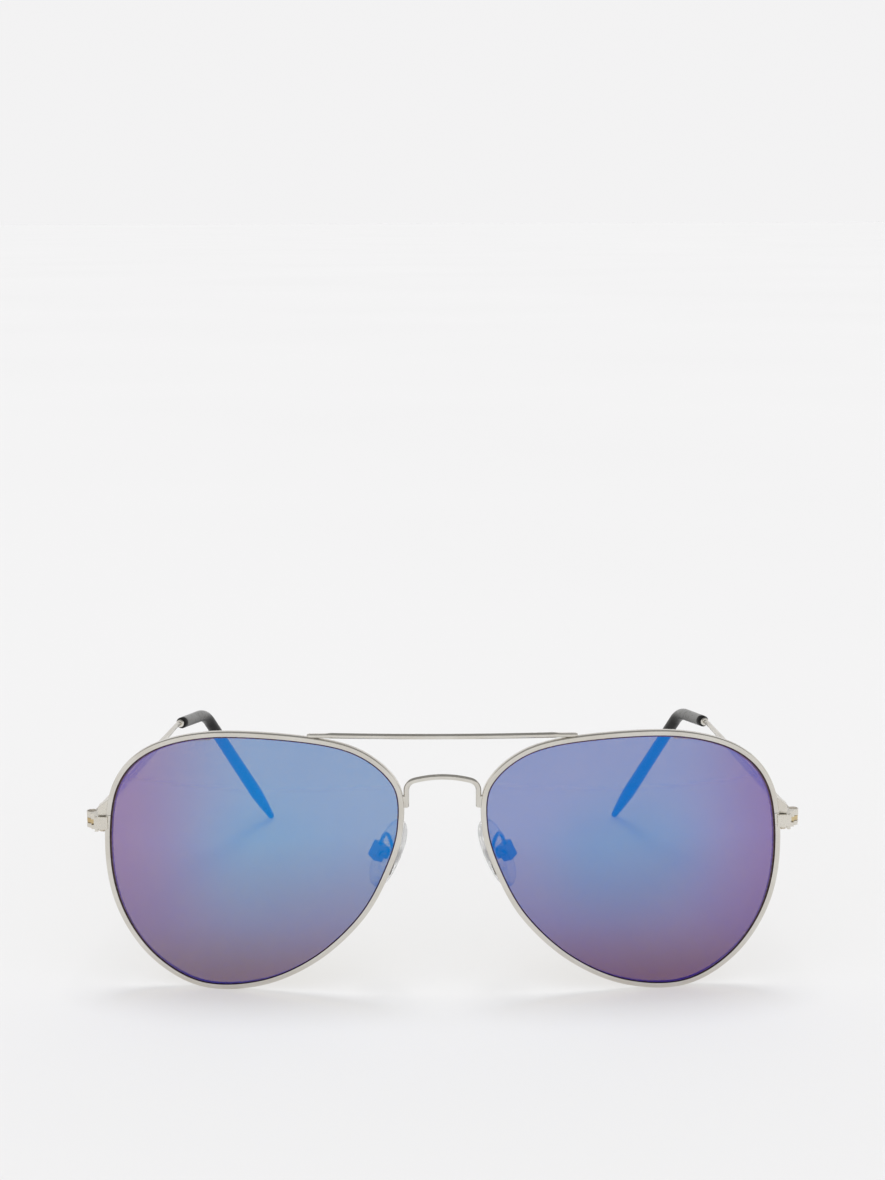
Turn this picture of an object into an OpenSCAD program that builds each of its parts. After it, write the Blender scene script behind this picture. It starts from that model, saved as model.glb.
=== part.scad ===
// Aviator sunglasses: two wire rims joined by a bridge and a brow bar, tinted lenses,
// screwed nose pads on bent arms, and folding temples with plastic tips.
// The wearer looks along -Y, so +X is the wearer's left. +Z is up and Z = 0 is the surface
// on which the open glasses stand, on the bottoms of the rims and the ends of the temples.
// Every sub-part is drawn for the wearer's left and mirrored for the right.

/* [Front] */
// Distance between the centres of the two lenses
lens_spacing = 75.4; // [75.2:0.1:76]
// Height of the lens centres above the lowest point of the rims
lens_height = 27.28; // [27.2:0.02:27.4]
// Lean of the front, top forward
front_lean = 3; // [2:0.5:4]
// Turn of each lens towards the temple
lens_wrap = 5; // [4.5:0.25:5.5]

/* [Lenses and rims] */
// Radius of the front surface of a lens
lens_radius = 88; // [84:1:95]
// Thickness of a lens
lens_thickness = 1.5; // [1.6:0.1:1.9]
// Width of the rim wire as seen from the front
rim_face = 1.05; // [1:0.05:1.2]
// Depth of the rim wire from front to back
rim_depth = 1.5; // [1.45:0.05:1.6]
// Distance from the front of the rim back to the lens
lens_recess = 0.2; // [0.15:0.05:0.25]

/* [Bridge and brow bar] */
// Diameter of the bridge and brow bar wires
bridge_wire = 1.1; // [1:0.05:1.2]
// Distance between the middles of the two legs of the bridge
bridge_span = 14.2; // [14:0.1:14.4]
// Height of the top of the bridge
bridge_top = 45.3; // [45:0.1:46]
// Distance between the ends of the brow bar
brow_length = 53; // [52:0.5:54]

/* [Temples] */
// Distance between the hinge axes
hinge_spacing = 140.6; // [140.4:0.1:140.8]
// Height of a temple where it meets the hinge
temple_height = 2; // [1.8:0.1:2.1]
// Thickness of a temple
temple_thickness = 0.8; // [0.7:0.05:0.85]
// Diameter of the temple wire inside the tip
core_wire = 1.1; // [1:0.05:1.1]
// Diameter of a temple tip at its mouth
tip_mouth = 2.6; // [2.4:0.1:2.8]
// Diameter of a temple tip where it is widest
tip_wide = 3.1; // [3:0.1:3.2]

/* [Nose pads] */
// Length of a nose pad
pad_length = 15; // [14:0.5:15.5]
// Width of a nose pad
pad_width = 7.8; // [7:0.2:8]
// Tilt of the pads, tops towards each other
pad_frontal = 24; // [22:1:26]
// Turn of the pads, back edges apart
pad_splay = 30; // [28:1:32]

/* [Hidden] */

$fn = 48;
RIGHT = -1;
LEFT = 1;
metal = "silver";
steel = "gainsboro";
tint = "slateblue";
black_plastic = [0.1, 0.1, 0.1];
clear_plastic = "whitesmoke";

// Y of the line on which the rims stand
front_y = -62;

// Outer edge of a rim about its lens centre: first towards the temple, then up
OUTLINE = [
    [30.2, 0.5], [28.7, 14.1], [21.8, 22.3], [9.1, 26.3], [-7.9, 26.1],
    [-20.6, 23.2], [-28.5, 16.3], [-29.6, 7.5], [-27.1, -1.4], [-21.7, -11.3],
    [-12.4, -20.3], [-1, -26], [11.5, -27], [21.4, -21.4], [27.9, -11.5]
];
outline_steps = 6;
// Where the rim is split, in spans of the outline, and the width of the split in spans
split_at = 0.57;
split_gap = 0.006;

// Section of the rim wire: distance in from its outer edge, distance back from its front
rim_bevel = 0.22;
groove_floor = 0.6;
groove_front = 0.35;
groove_back = 1.2;
RIM_SECTION = [
    [0, rim_bevel], [rim_bevel, 0], [rim_face - 0.15, 0], [rim_face, 0.12],
    [rim_face, groove_front], [groove_floor, groove_front],
    [groove_floor, groove_back], [rim_face, groove_back],
    [rim_face, rim_depth - 0.1], [rim_face - 0.15, rim_depth],
    [rim_bevel, rim_depth], [0, rim_depth - rim_bevel]
];
// Gap between the lens and the inside of the rim, and the lens tongue that sits in the groove
lens_gap = 0.1;
tongue_inset = 0.7;
tongue_front = 0.25;
tongue_back = 0.75;

// Bridge, in the plane of the front
bridge_depth = -0.9;
bridge_arch_radius = 21.6;
bridge_corner_radius = 2.1;
bridge_foot_bottom = 38.5;
bridge_foot_top = 41;
bridge_foot_reach = 8.3;

// Brow bar
brow_z = 53.15;
brow_depth = -0.55;
brow_bow_radius = 260;
brow_flat_length = 4;
brow_flat_height = 0.75;
brow_flat_depth = 1.3;

// Split joint of the rim
block_back = 5.7;
block_outer = 68.7;
split_low = 35.52;
split_high = 35.6;
lower_block_bottom = 32.6;
rim_screw_x = 67.95;
rim_screw_y = 4.6;
rim_screw_r = 0.45;
rim_screw_head_r = 0.68;
rim_screw_head = 0.5;
rim_screw_top = 36.8;

// End piece
plate_front = 2.6;
plate_back = 3.6;
plate_inner = 66.7;
plate_bottom = 32.9;
plate_top = 35.5;
wall_outer = 69.4;
wall_back = 6;
corner_radius = 0.6;

// Hinge
hinge_x = hinge_spacing / 2;
hinge_y = 7;
knuckle_r = 1.1;
knuckle_bottom = 32.25;
temple_knuckle_low = 33.2;
temple_knuckle_high = 34.25;
knuckle_gap = 0.05;
hinge_screw_r = 0.55;
hinge_bore_r = 0.6;
hinge_head_r = 0.8;
hinge_head = 0.42;
head_recess_r = 0.85;
head_recess = 0.45;

// Temple route on the wearer's left: crook ahead of the tip, ear bend, centre of the tip's end
CROOK = [62.1, 20, 35.8];
EAR_BEND = [57.2, 34.5, 35];
tip_end_r = 0.8;
tip_taper = 12;
TIP_CENTRE = [44.3, 67.7, tip_end_r];
crook_radius = 12;
ear_bend_radius = 9;
temple_start = 1.4;
temple_rear_height = 1.1;
// From the crook to the mouth of the tip, and what the core wire leaves solid at the end
mouth_offset = 2;
collar_r = 0.9;
collar_length = 1;
core_clearance = 0.03;
core_end = 9;
bore_end = 8;

// Nose pads: the screw of the pad, and the route of the pad arm's wire
PAD_PIVOT = [12.7, 5.4, 27.3];
PAD_ARM = [
    [10.75, -1.4, 24.8], [10.1, -1.28, 26.5], [9.7, -0.9, 28.3], [10, 0.4, 30],
    [10.6, 2.2, 31.3], [11.3, 3.8, 31.5], [11.9, 4.8, 30.6], [12.4, 5.1, 29]
];
pad_wire_r = 0.4;
pad_box = [2, 2.8, 3.4];
pad_box_front = -0.7;
pad_box_wall = 0.4;
pad_screw_r = 0.45;
pad_bore_r = 0.5;
pad_screw_head_r = 0.75;
pad_screw_head = 0.4;
pad_face = -1.2;
pad_thickness = 2.1;
insert_r = 0.85;
insert_width = 1.9;
anchor_r = 1.3;
anchor_thickness = 0.4;

// ---- Functions ----

function unit(v) = v / norm(v);

// A point of the smooth curve through four neighbours, between the second and the third
function curve(a, b, c, d, t) =
    0.5 * (2 * b + (c - a) * t + (2 * a - 5 * b + 4 * c - d) * t * t
        + (3 * b - a - 3 * c + d) * t * t * t);

function curve_slope(a, b, c, d, t) =
    0.5 * ((c - a) + 2 * (2 * a - 5 * b + 4 * c - d) * t
        + 3 * (3 * b - a - 3 * c + d) * t * t);

function around(i) = OUTLINE[(i + len(OUTLINE)) % len(OUTLINE)];

// A point of the rim's outline moved inwards; s counts spans of the outline
function inset(s, distance) =
    let(i = floor(s), t = s - i)
    let(a = around(i - 1), b = around(i), c = around(i + 1), d = around(i + 2))
    let(slope = unit(curve_slope(a, b, c, d, t)))
    curve(a, b, c, d, t) + distance * [-slope.y, slope.x];

// How far the front surface of the lens falls back at a point
function sag(p) = lens_radius - sqrt(lens_radius * lens_radius - p * p);

function lens_outline(distance) =
    [for (i = [0 : len(OUTLINE) * outline_steps - 1]) inset(i / outline_steps, distance)];

// Triangles of a tube of rings, each with the same number of points, and its two ends
function tube_faces(rings, sides) = concat(
    [for (i = [0 : rings - 2], j = [0 : sides - 1])
        [i * sides + j, i * sides + (j + 1) % sides, (i + 1) * sides + (j + 1) % sides]],
    [for (i = [0 : rings - 2], j = [0 : sides - 1])
        [i * sides + j, (i + 1) * sides + (j + 1) % sides, (i + 1) * sides + j]],
    [[for (j = [sides - 1 : -1 : 0]) j]],
    [[for (j = [0 : sides - 1]) (rings - 1) * sides + j]]
);

function route(points, steps) = concat(
    [for (i = [0 : len(points) - 2], k = [0 : steps - 1])
        curve(points[max(i - 1, 0)], points[i], points[i + 1],
            points[min(i + 2, len(points) - 1)], k / steps)],
    [points[len(points) - 1]]
);

// Half of the angle through which a route turns at b
function half_turn(a, b, c) = acos(unit(b - a) * unit(c - b)) / 2;

// Points of the round bend that replaces the corner at b, from the side of a to that of c
function bend(a, b, c, radius, steps) =
    let(half = half_turn(a, b, c))
    let(inward = unit(unit(a - b) + unit(c - b)))
    let(middle = b + inward * radius / cos(half))
    let(ahead = unit(unit(b - a) + unit(c - b)))
    [for (k = [0 : steps])
        let(turn = half * (2 * k / steps - 1))
        middle + radius * (sin(turn) * ahead - cos(turn) * inward)];

// The same radius at every point of a route
function even(path, r) = [for (p = path) r];

// A point given in the leaning front, in the frame of the whole
function from_front(p) = [
    p.x,
    p.y * cos(front_lean) - p.z * sin(front_lean) + front_y,
    p.y * sin(front_lean) + p.z * cos(front_lean)
];

// ---- Placing ----

module on_side(side) {
    mirror([side == RIGHT ? 1 : 0, 0, 0])
        children();
}

module front_frame() {
    translate([0, front_y, 0])
        rotate([front_lean, 0, 0])
            children();
}

// The lens centre, with X towards the temple and Y back
module lens_frame() {
    lens_set_back = -4.6;
    front_frame()
        translate([lens_spacing / 2, lens_set_back, lens_height])
            rotate([0, 0, lens_wrap])
                children();
}

// The pad's screw, with X away from the nose, Y along the screw and Z up the pad
module pad_frame() {
    front_frame()
        translate(PAD_PIVOT)
            rotate([0, -pad_frontal, 0])
                rotate([0, 0, -pad_splay])
                    children();
}

// ---- Shapes ----

module box(low, high) {
    translate(low)
        cube(high - low);
}

module post(x, y, bottom, top, r) {
    translate([x, y, bottom])
        cylinder(h = top - bottom, r = r);
}

// A round wire along a route that never runs along the axis named last; one radius a point
module wire(path, radii, sides, axis) {
    last = len(path) - 1;
    points = [
        for (i = [0 : last])
            let(along = unit(path[min(i + 1, last)] - path[max(i - 1, 0)]))
            let(across = unit(cross(along, axis)))
            let(up = cross(along, across))
            for (j = [0 : sides - 1])
                let(a = 360 * j / sides)
                path[i] + radii[i] * (cos(a) * across - sin(a) * up)
    ];
    polyhedron(points, tube_faces(last + 1, sides), convexity = 6);
}

// ---- Front ----

module rim(side) {
    stations = len(OUTLINE) * outline_steps;
    first = split_at + split_gap / 2;
    span = (len(OUTLINE) - split_gap) / stations;
    points = [
        for (i = [0 : stations])
            let(s = first + i * span)
            let(front = sag(inset(s, rim_face)) - lens_recess)
            for (q = RIM_SECTION)
                let(p = inset(s, q.x))
                [p.x, front + q.y, p.y]
    ];
    color(metal)
        on_side(side)
            lens_frame()
                polyhedron(points, tube_faces(stations + 1, len(RIM_SECTION)), convexity = 10);
}

// A slice of the lens between two depths behind its front surface
module lens_slice(front, back, edge) {
    slice_depth = 20;
    intersection() {
        translate([0, lens_radius, 0])
            difference() {
                sphere(r = lens_radius - front, $fn = 96);
                sphere(r = lens_radius - back, $fn = 96);
            }
        translate([0, slice_depth, 0])
            rotate([90, 0, 0])
                linear_extrude(height = slice_depth + 1)
                    polygon(lens_outline(edge));
    }
}

module lens(side) {
    color(tint, 0.6)
        on_side(side)
            lens_frame()
                union() {
                    lens_slice(0, lens_thickness, rim_face + lens_gap);
                    lens_slice(tongue_front, tongue_back, tongue_inset);
                }
}

// Points of an arc in the plane of the front, without its last
function front_arc(centre_x, centre_z, radius, from, to, steps) =
    [for (k = [0 : steps - 1])
        let(a = from + (to - from) * k / steps)
        [centre_x + radius * cos(a), bridge_depth, centre_z + radius * sin(a)]];

module bridge() {
    leg_x = bridge_span / 2;
    corner_x = leg_x - bridge_corner_radius;
    arch_half = asin(corner_x / (bridge_arch_radius - bridge_corner_radius));
    arch_z = bridge_top - bridge_wire / 2 - bridge_arch_radius;
    corner_z = arch_z + (bridge_arch_radius - bridge_corner_radius) * cos(arch_half);
    foot_half = bridge_wire / 2;
    corner_steps = 7;
    arch_steps = 12;
    path = concat(
        [[leg_x, bridge_depth, bridge_foot_bottom + 0.1]],
        front_arc(corner_x, corner_z, bridge_corner_radius, 0, 90 - arch_half, corner_steps),
        front_arc(0, arch_z, bridge_arch_radius, 90 - arch_half, 90 + arch_half, arch_steps),
        front_arc(-corner_x, corner_z, bridge_corner_radius, 90 + arch_half, 180, corner_steps),
        [[-leg_x, bridge_depth, corner_z], [-leg_x, bridge_depth, bridge_foot_bottom + 0.1]]
    );
    color(metal)
        front_frame()
            union() {
                wire(path, even(path, bridge_wire / 2), 12, [0, 1, 0]);
                for (side = [RIGHT, LEFT])
                    on_side(side)
                        box([leg_x - foot_half, bridge_depth - foot_half, bridge_foot_bottom],
                            [bridge_foot_reach, bridge_depth + foot_half, bridge_foot_top]);
            }
}

module brow_bar() {
    end_x = brow_length / 2;
    round_end = end_x - brow_flat_length;
    half_angle = asin(round_end / brow_bow_radius);
    flat_y = brow_depth - brow_flat_depth / 2;
    bow_centre = brow_depth + brow_bow_radius * cos(half_angle);
    flat_overlap = 0.6;
    color(metal)
        front_frame()
            union() {
                translate([0, bow_centre, brow_z])
                    rotate([0, 0, -90 - half_angle])
                        rotate_extrude(angle = 2 * half_angle)
                            translate([brow_bow_radius, 0])
                                circle(d = bridge_wire);
                for (side = [RIGHT, LEFT])
                    on_side(side)
                        box([round_end - flat_overlap, flat_y, brow_z - brow_flat_height / 2],
                            [end_x, flat_y + brow_flat_depth, brow_z + brow_flat_height / 2]);
            }
}

// ---- Split joint ----

module closing_block_upper(side) {
    block_front = 3.4;
    color(metal)
        on_side(side)
            front_frame()
                difference() {
                    translate([0, block_back, 0])
                        rotate([90, 0, 0])
                            linear_extrude(height = block_back - block_front)
                                polygon([[66.5, split_high], [68.6, split_high],
                                    [68.6, 37.3], [66.1, 39.2]]);
                    post(rim_screw_x, rim_screw_y, split_high - 1, rim_screw_top + 0.1,
                        rim_screw_r + 0.02);
                }
}

module closing_block_lower(side) {
    color(metal)
        on_side(side)
            front_frame()
                difference() {
                    box([66.5, plate_back, lower_block_bottom],
                        [block_outer, block_back, split_low]);
                    post(rim_screw_x, rim_screw_y, lower_block_bottom - 1, split_low + 1,
                        rim_screw_r + 0.05);
                }
}

module rim_screw(side) {
    head_bottom = lower_block_bottom - rim_screw_head;
    slot = 0.2;
    color(steel)
        on_side(side)
            front_frame()
                difference() {
                    union() {
                        post(rim_screw_x, rim_screw_y, head_bottom, lower_block_bottom,
                            rim_screw_head_r);
                        post(rim_screw_x, rim_screw_y, head_bottom, rim_screw_top, rim_screw_r);
                    }
                    box([rim_screw_x - 1, rim_screw_y - slot / 2, head_bottom - 1],
                        [rim_screw_x + 1, rim_screw_y + slot / 2, head_bottom + slot]);
                }
}

// ---- Hinge ----

// Plate in front of the split joint, with its lower outer corner cut away
module endpiece_plate() {
    cut = 1.1;
    translate([0, plate_back, 0])
        rotate([90, 0, 0])
            linear_extrude(height = plate_back - plate_front)
                union() {
                    polygon([[plate_inner, plate_bottom], [wall_outer - cut, plate_bottom],
                        [wall_outer, plate_bottom + cut], [wall_outer, plate_top - corner_radius],
                        [wall_outer - corner_radius, plate_top], [plate_inner, plate_top]]);
                    translate([wall_outer - corner_radius, plate_top - corner_radius])
                        circle(r = corner_radius);
                }
}

module endpiece_knuckle(bottom, top) {
    arm_back = 6.3;
    union() {
        post(hinge_x, hinge_y, bottom, top, knuckle_r);
        box([block_outer, wall_back - 1, bottom], [hinge_x, arm_back, top]);
    }
}

module endpiece(side) {
    wall_bottom = knuckle_bottom;
    color(metal)
        on_side(side)
            front_frame()
                difference() {
                    union() {
                        endpiece_plate();
                        box([block_outer, plate_back - 0.2, wall_bottom],
                            [wall_outer, wall_back, plate_top]);
                        endpiece_knuckle(knuckle_bottom, temple_knuckle_low - knuckle_gap);
                        endpiece_knuckle(temple_knuckle_high + knuckle_gap, plate_top);
                    }
                    post(hinge_x, hinge_y, knuckle_bottom - 1, plate_top + 1, hinge_bore_r);
                    post(hinge_x, hinge_y, plate_top - head_recess, plate_top + 1, head_recess_r);
                }
}

module hinge_screw(side) {
    head_bottom = plate_top - head_recess;
    head_top = head_bottom + hinge_head;
    slot = 0.22;
    color(steel)
        on_side(side)
            front_frame()
                difference() {
                    union() {
                        post(hinge_x, hinge_y, head_bottom, head_top, hinge_head_r);
                        post(hinge_x, hinge_y, knuckle_bottom, head_top, hinge_screw_r);
                    }
                    box([hinge_x - 1, hinge_y - slot / 2, head_top - slot],
                        [hinge_x + 1, hinge_y + slot / 2, head_top + 1]);
                }
}

// ---- Temples ----

hinge_centre = from_front([hinge_x, hinge_y, (temple_knuckle_low + temple_knuckle_high) / 2]);
temple_way = CROOK - hinge_centre;
mouth_way = unit(EAR_BEND - CROOK);
mouth = CROOK + mouth_offset * mouth_way;
tip_way = unit(TIP_CENTRE - EAR_BEND);
ear = bend(CROOK, EAR_BEND, TIP_CENTRE, ear_bend_radius, 8);

// The flat part of the temple, a strip on edge that narrows towards the crook
module temple_strip() {
    strip_end = norm(temple_way) - crook_radius * tan(half_turn(hinge_centre, CROOK, EAR_BEND));
    heading = atan2(temple_way.y, temple_way.x);
    rise = asin(temple_way.z / norm(temple_way));
    front_half = temple_height / 2;
    rear_half = temple_rear_height / 2;
    translate(hinge_centre)
        rotate([0, 0, heading])
            rotate([0, -rise, 0])
                translate([0, temple_thickness / 2, 0])
                    rotate([90, 0, 0])
                        linear_extrude(height = temple_thickness)
                            polygon([[temple_start, -front_half], [strip_end, -rear_half],
                                [strip_end, rear_half], [temple_start, front_half]]);
}

// The middle knuckle, its neck, and the tooth that stops the temple when it is open
module temple_knuckle() {
    neck_half = 0.38;
    tooth = [wall_outer + 0.03, 5.3];
    low = temple_knuckle_low;
    high = temple_knuckle_high;
    front_frame()
        difference() {
            union() {
                post(hinge_x, hinge_y, low, high, knuckle_r);
                box([hinge_x - neck_half - 0.1, hinge_y, low],
                    [hinge_x + neck_half - 0.1, hinge_y + temple_start + 0.4, high]);
                box([tooth.x, tooth.y, low], [hinge_x, hinge_y - hinge_bore_r - 0.2, high]);
            }
            post(hinge_x, hinge_y, low - 1, high + 1, hinge_bore_r);
        }
}

module temple(side) {
    crook = bend(hinge_centre, CROOK, EAR_BEND, crook_radius, 4);
    path = concat(
        [crook[0] - unit(temple_way)],
        crook,
        ear,
        [TIP_CENTRE - core_end * tip_way]
    );
    collar = [mouth - collar_length * mouth_way, mouth];
    color(metal)
        on_side(side)
            union() {
                temple_knuckle();
                temple_strip();
                wire(path, even(path, core_wire / 2), 10, [1, 0, 0]);
                wire(collar, even(collar, collar_r), 16, [1, 0, 0]);
            }
}

// The tip widens evenly from its mouth, then tapers to a small round end
module temple_tip(side) {
    bore_r = core_wire / 2 + core_clearance;
    mouth_r = tip_mouth / 2;
    wide_r = tip_wide / 2;
    end_steps = 5;
    slope_points = 3;
    taper_start = TIP_CENTRE - tip_taper * tip_way;
    bend_end = ear[len(ear) - 1];
    after_bend = [
        for (k = [1 : slope_points]) bend_end + (taper_start - bend_end) * k / slope_points
    ];
    end_angles = [for (k = [1 : end_steps]) 80 * k / end_steps];
    outside = concat(
        [mouth],
        ear,
        after_bend,
        [TIP_CENTRE],
        [for (a = end_angles) TIP_CENTRE + tip_end_r * sin(a) * tip_way]
    );
    body_points = len(outside) - end_steps - 1;
    radii = concat(
        [for (i = [0 : body_points - 1])
            mouth_r + (wide_r - mouth_r) * norm(outside[i] - mouth) / norm(taper_start - mouth)],
        [tip_end_r],
        [for (a = end_angles) tip_end_r * cos(a)]
    );
    inside = concat(
        [mouth - mouth_way],
        ear,
        [TIP_CENTRE - bore_end * tip_way]
    );
    color(black_plastic)
        on_side(side)
            difference() {
                wire(outside, radii, 16, [1, 0, 0]);
                wire(inside, even(inside, bore_r), 10, [1, 0, 0]);
            }
}

// ---- Nose pads ----

module pad_arm(side) {
    path = route(PAD_ARM, 4);
    color(metal)
        on_side(side)
            front_frame()
                wire(path, even(path, pad_wire_r), 10, [1, 0, 0]);
}

// A cup open towards the nose, with a hole through both cheeks for the screw
module pad_box(side) {
    half_y = pad_box.y / 2;
    half_z = pad_box.z / 2;
    back = pad_box_front + pad_box.x;
    color(metal)
        on_side(side)
            pad_frame()
                difference() {
                    box([pad_box_front, -half_y, -half_z], [back, half_y, half_z]);
                    box([pad_box_front - 1, pad_box_wall - half_y, pad_box_wall - half_z],
                        [back - pad_box_wall, half_y - pad_box_wall, half_z - pad_box_wall]);
                    rotate([90, 0, 0])
                        cylinder(h = pad_box.y + 1, r = pad_bore_r, center = true);
                }
}

module pad_screw(side) {
    half_y = pad_box.y / 2;
    slot = 0.2;
    color(steel)
        on_side(side)
            pad_frame()
                rotate([90, 0, 0])
                    difference() {
                        union() {
                            translate([0, 0, -half_y])
                                cylinder(h = pad_box.y, r = pad_screw_r);
                            translate([0, 0, half_y])
                                cylinder(h = pad_screw_head, r = pad_screw_head_r);
                        }
                        box([-1, -slot / 2, half_y + pad_screw_head - slot],
                            [1, slot / 2, half_y + 1]);
                    }
}

// The eye in the pad box and the anchor plate moulded into the pad
module pad_insert(side) {
    neck_half = 0.6;
    color(steel)
        on_side(side)
            pad_frame()
                difference() {
                    union() {
                        rotate([90, 0, 0])
                            cylinder(h = insert_width, r = insert_r, center = true);
                        box([pad_face - 0.6, -insert_width / 2, -neck_half],
                            [0, insert_width / 2, neck_half]);
                        translate([pad_face - 0.6 - anchor_thickness, 0, 0])
                            rotate([0, 90, 0])
                                cylinder(h = anchor_thickness, r = anchor_r);
                    }
                    rotate([90, 0, 0])
                        cylinder(h = insert_width + 1, r = pad_bore_r, center = true);
                }
}

// A cushion with rounded edges: rings of an oval that narrows towards its two faces
module nose_pad(side) {
    sides = 32;
    squareness = 2.3;
    half_w = pad_width / 2;
    half_l = pad_length / 2;
    function oval(a, half) = half * sign(a) * pow(abs(a), 2 / squareness);
    RINGS = [[0, 0.72], [0.12, 0.86], [0.5, 0.97], [1, 1], [1.5, 0.96], [1.9, 0.84],
        [pad_thickness, 0.62]];
    points = [
        for (q = RINGS, j = [0 : sides - 1])
            let(a = 360 * j / sides)
            [pad_face - q.x, q.y * oval(cos(a), half_w), q.y * oval(sin(a), half_l)]
    ];
    color(clear_plastic, 0.6)
        on_side(side)
            pad_frame()
                polyhedron(points, tube_faces(len(RINGS), sides), convexity = 4);
}

rim(RIGHT);  // right_rim
rim(LEFT);  // left_rim
lens(RIGHT);  // right_lens
lens(LEFT);  // left_lens
bridge();
brow_bar();
closing_block_upper(RIGHT);  // right_closing_block_upper
closing_block_upper(LEFT);  // left_closing_block_upper
closing_block_lower(RIGHT);  // right_closing_block_lower
closing_block_lower(LEFT);  // left_closing_block_lower
rim_screw(RIGHT);  // right_rim_screw
rim_screw(LEFT);  // left_rim_screw
endpiece(RIGHT);  // right_endpiece
endpiece(LEFT);  // left_endpiece
hinge_screw(RIGHT);  // right_hinge_screw
hinge_screw(LEFT);  // left_hinge_screw
temple(RIGHT);  // right_temple
temple(LEFT);  // left_temple
temple_tip(RIGHT);  // right_temple_tip
temple_tip(LEFT);  // left_temple_tip
pad_arm(RIGHT);  // right_pad_arm
pad_arm(LEFT);  // left_pad_arm
pad_box(RIGHT);  // right_pad_box
pad_box(LEFT);  // left_pad_box
pad_screw(RIGHT);  // right_pad_screw
pad_screw(LEFT);  // left_pad_screw
pad_insert(RIGHT);  // right_pad_insert
pad_insert(LEFT);  // left_pad_insert
nose_pad(RIGHT);  // right_nose_pad
nose_pad(LEFT);  // left_nose_pad
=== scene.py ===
"""Aviator sunglasses: smooth pieces and materials around the CAD solids.

Lengths are in millimetres until a mesh is made. X is towards the wearer's left, -Y is the way
the wearer looks and Z is up. Sub-parts are drawn for the wearer's left and mirrored.
"""
import math

import bmesh
import bpy
import numpy as np
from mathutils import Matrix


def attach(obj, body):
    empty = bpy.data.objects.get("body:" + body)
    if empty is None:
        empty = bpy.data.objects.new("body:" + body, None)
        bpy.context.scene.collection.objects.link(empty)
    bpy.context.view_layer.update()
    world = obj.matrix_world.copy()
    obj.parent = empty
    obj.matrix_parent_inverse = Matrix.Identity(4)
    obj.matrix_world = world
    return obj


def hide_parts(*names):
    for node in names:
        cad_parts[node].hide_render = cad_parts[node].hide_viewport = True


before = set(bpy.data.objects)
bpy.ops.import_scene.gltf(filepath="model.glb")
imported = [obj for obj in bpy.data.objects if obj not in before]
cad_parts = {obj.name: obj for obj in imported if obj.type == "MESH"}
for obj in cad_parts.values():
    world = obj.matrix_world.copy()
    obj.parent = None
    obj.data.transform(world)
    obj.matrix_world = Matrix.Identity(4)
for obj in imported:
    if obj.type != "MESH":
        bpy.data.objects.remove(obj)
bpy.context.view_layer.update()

MM = 0.001
SIDES = {"right": -1, "left": 1}

# ---- Sizes shared with the CAD source ----

LENS_SPACING = 75.4
LENS_HEIGHT = 27.28
LENS_SET_BACK = -4.6
FRONT_LEAN = math.radians(3)
LENS_WRAP = math.radians(5)
FRONT_Y = -62
LENS_RADIUS = 88
LENS_THICKNESS = 1.5
RIM_FACE = 1.05
RIM_DEPTH = 1.5
LENS_RECESS = 0.2
OUTLINE = np.array([
    (30.2, 0.5), (28.7, 14.1), (21.8, 22.3), (9.1, 26.3), (-7.9, 26.1),
    (-20.6, 23.2), (-28.5, 16.3), (-29.6, 7.5), (-27.1, -1.4), (-21.7, -11.3),
    (-12.4, -20.3), (-1, -26), (11.5, -27), (21.4, -21.4), (27.9, -11.5),
], float)
SPLIT_AT = 0.57
SPLIT_GAP = 0.006

BRIDGE_DEPTH = -0.9
BRIDGE_LEG = 7.1
BRIDGE_TOP = 45.3
ARCH_RADIUS = 21.6
CORNER_RADIUS = 2.1
FOOT_BOTTOM = 38.5
FOOT_TOP = 41
FOOT_REACH = 8.3
FOOT_HALF = 0.48
WIRE_R = 0.55

BROW_Z = 53.15
BROW_DEPTH = -0.55
BROW_BOW = 260
BROW_END = 26.5
BROW_FLAT = 4

HINGE = (70.3, 7)
KNUCKLE = (33.2, 34.25)
KNUCKLE_R = 1.1
KNUCKLE_GAP = 0.03
HINGE_BORE_R = 0.6
CROOK = np.array((62.1, 20, 35.8))
EAR_BEND = np.array((57.2, 34.5, 35))
TIP_CENTRE = np.array((44.3, 67.7, 0.8))
CROOK_RADIUS = 12
EAR_RADIUS = 9
TEMPLE_START = 1.4
STRIP_HEIGHT = 2
STRIP_THICK = 0.8
MOUTH_OFFSET = 2
MOUTH_R = 1.3
WIDE_R = 1.55
END_R = 0.8
TAPER = 12
CORE_END = 9

PAD_PIVOT = np.array((12.7, 5.4, 27.3))
PAD_FRONTAL = math.radians(24)
PAD_SPLAY = math.radians(30)
PAD_ARM = np.array([
    (10.75, -1.4, 24.8), (10.1, -1.28, 26.5), (9.7, -0.9, 28.3), (10, 0.4, 30),
    (10.6, 2.2, 31.3), (11.3, 3.8, 31.5), (11.9, 4.8, 30.6), (12.4, 5.1, 29),
])
PAD_WIRE_R = 0.4
PAD_FACE = -1.2
PAD_HALF = (3.9, 7.5)

# ---- Small functions ----


def unit(v):
    v = np.asarray(v, float)
    return v / np.linalg.norm(v)


def turned(points, axis, angle):
    """Points turned about a coordinate axis through the origin."""
    c, s = math.cos(angle), math.sin(angle)
    a, b = {"x": (1, 2), "y": (2, 0), "z": (0, 1)}[axis]
    out = np.array(points, float)
    first, second = out[..., a].copy(), out[..., b].copy()
    out[..., a] = first * c - second * s
    out[..., b] = first * s + second * c
    return out


def from_front(points):
    """From the upright front to the row frame."""
    return turned(points, "x", FRONT_LEAN) + np.array((0, FRONT_Y, 0))


def from_lens(points):
    """From the lens centre, X towards the temple and Y back, to the row frame."""
    shift = np.array((LENS_SPACING / 2, LENS_SET_BACK, LENS_HEIGHT))
    return from_front(turned(points, "z", LENS_WRAP) + shift)


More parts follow.
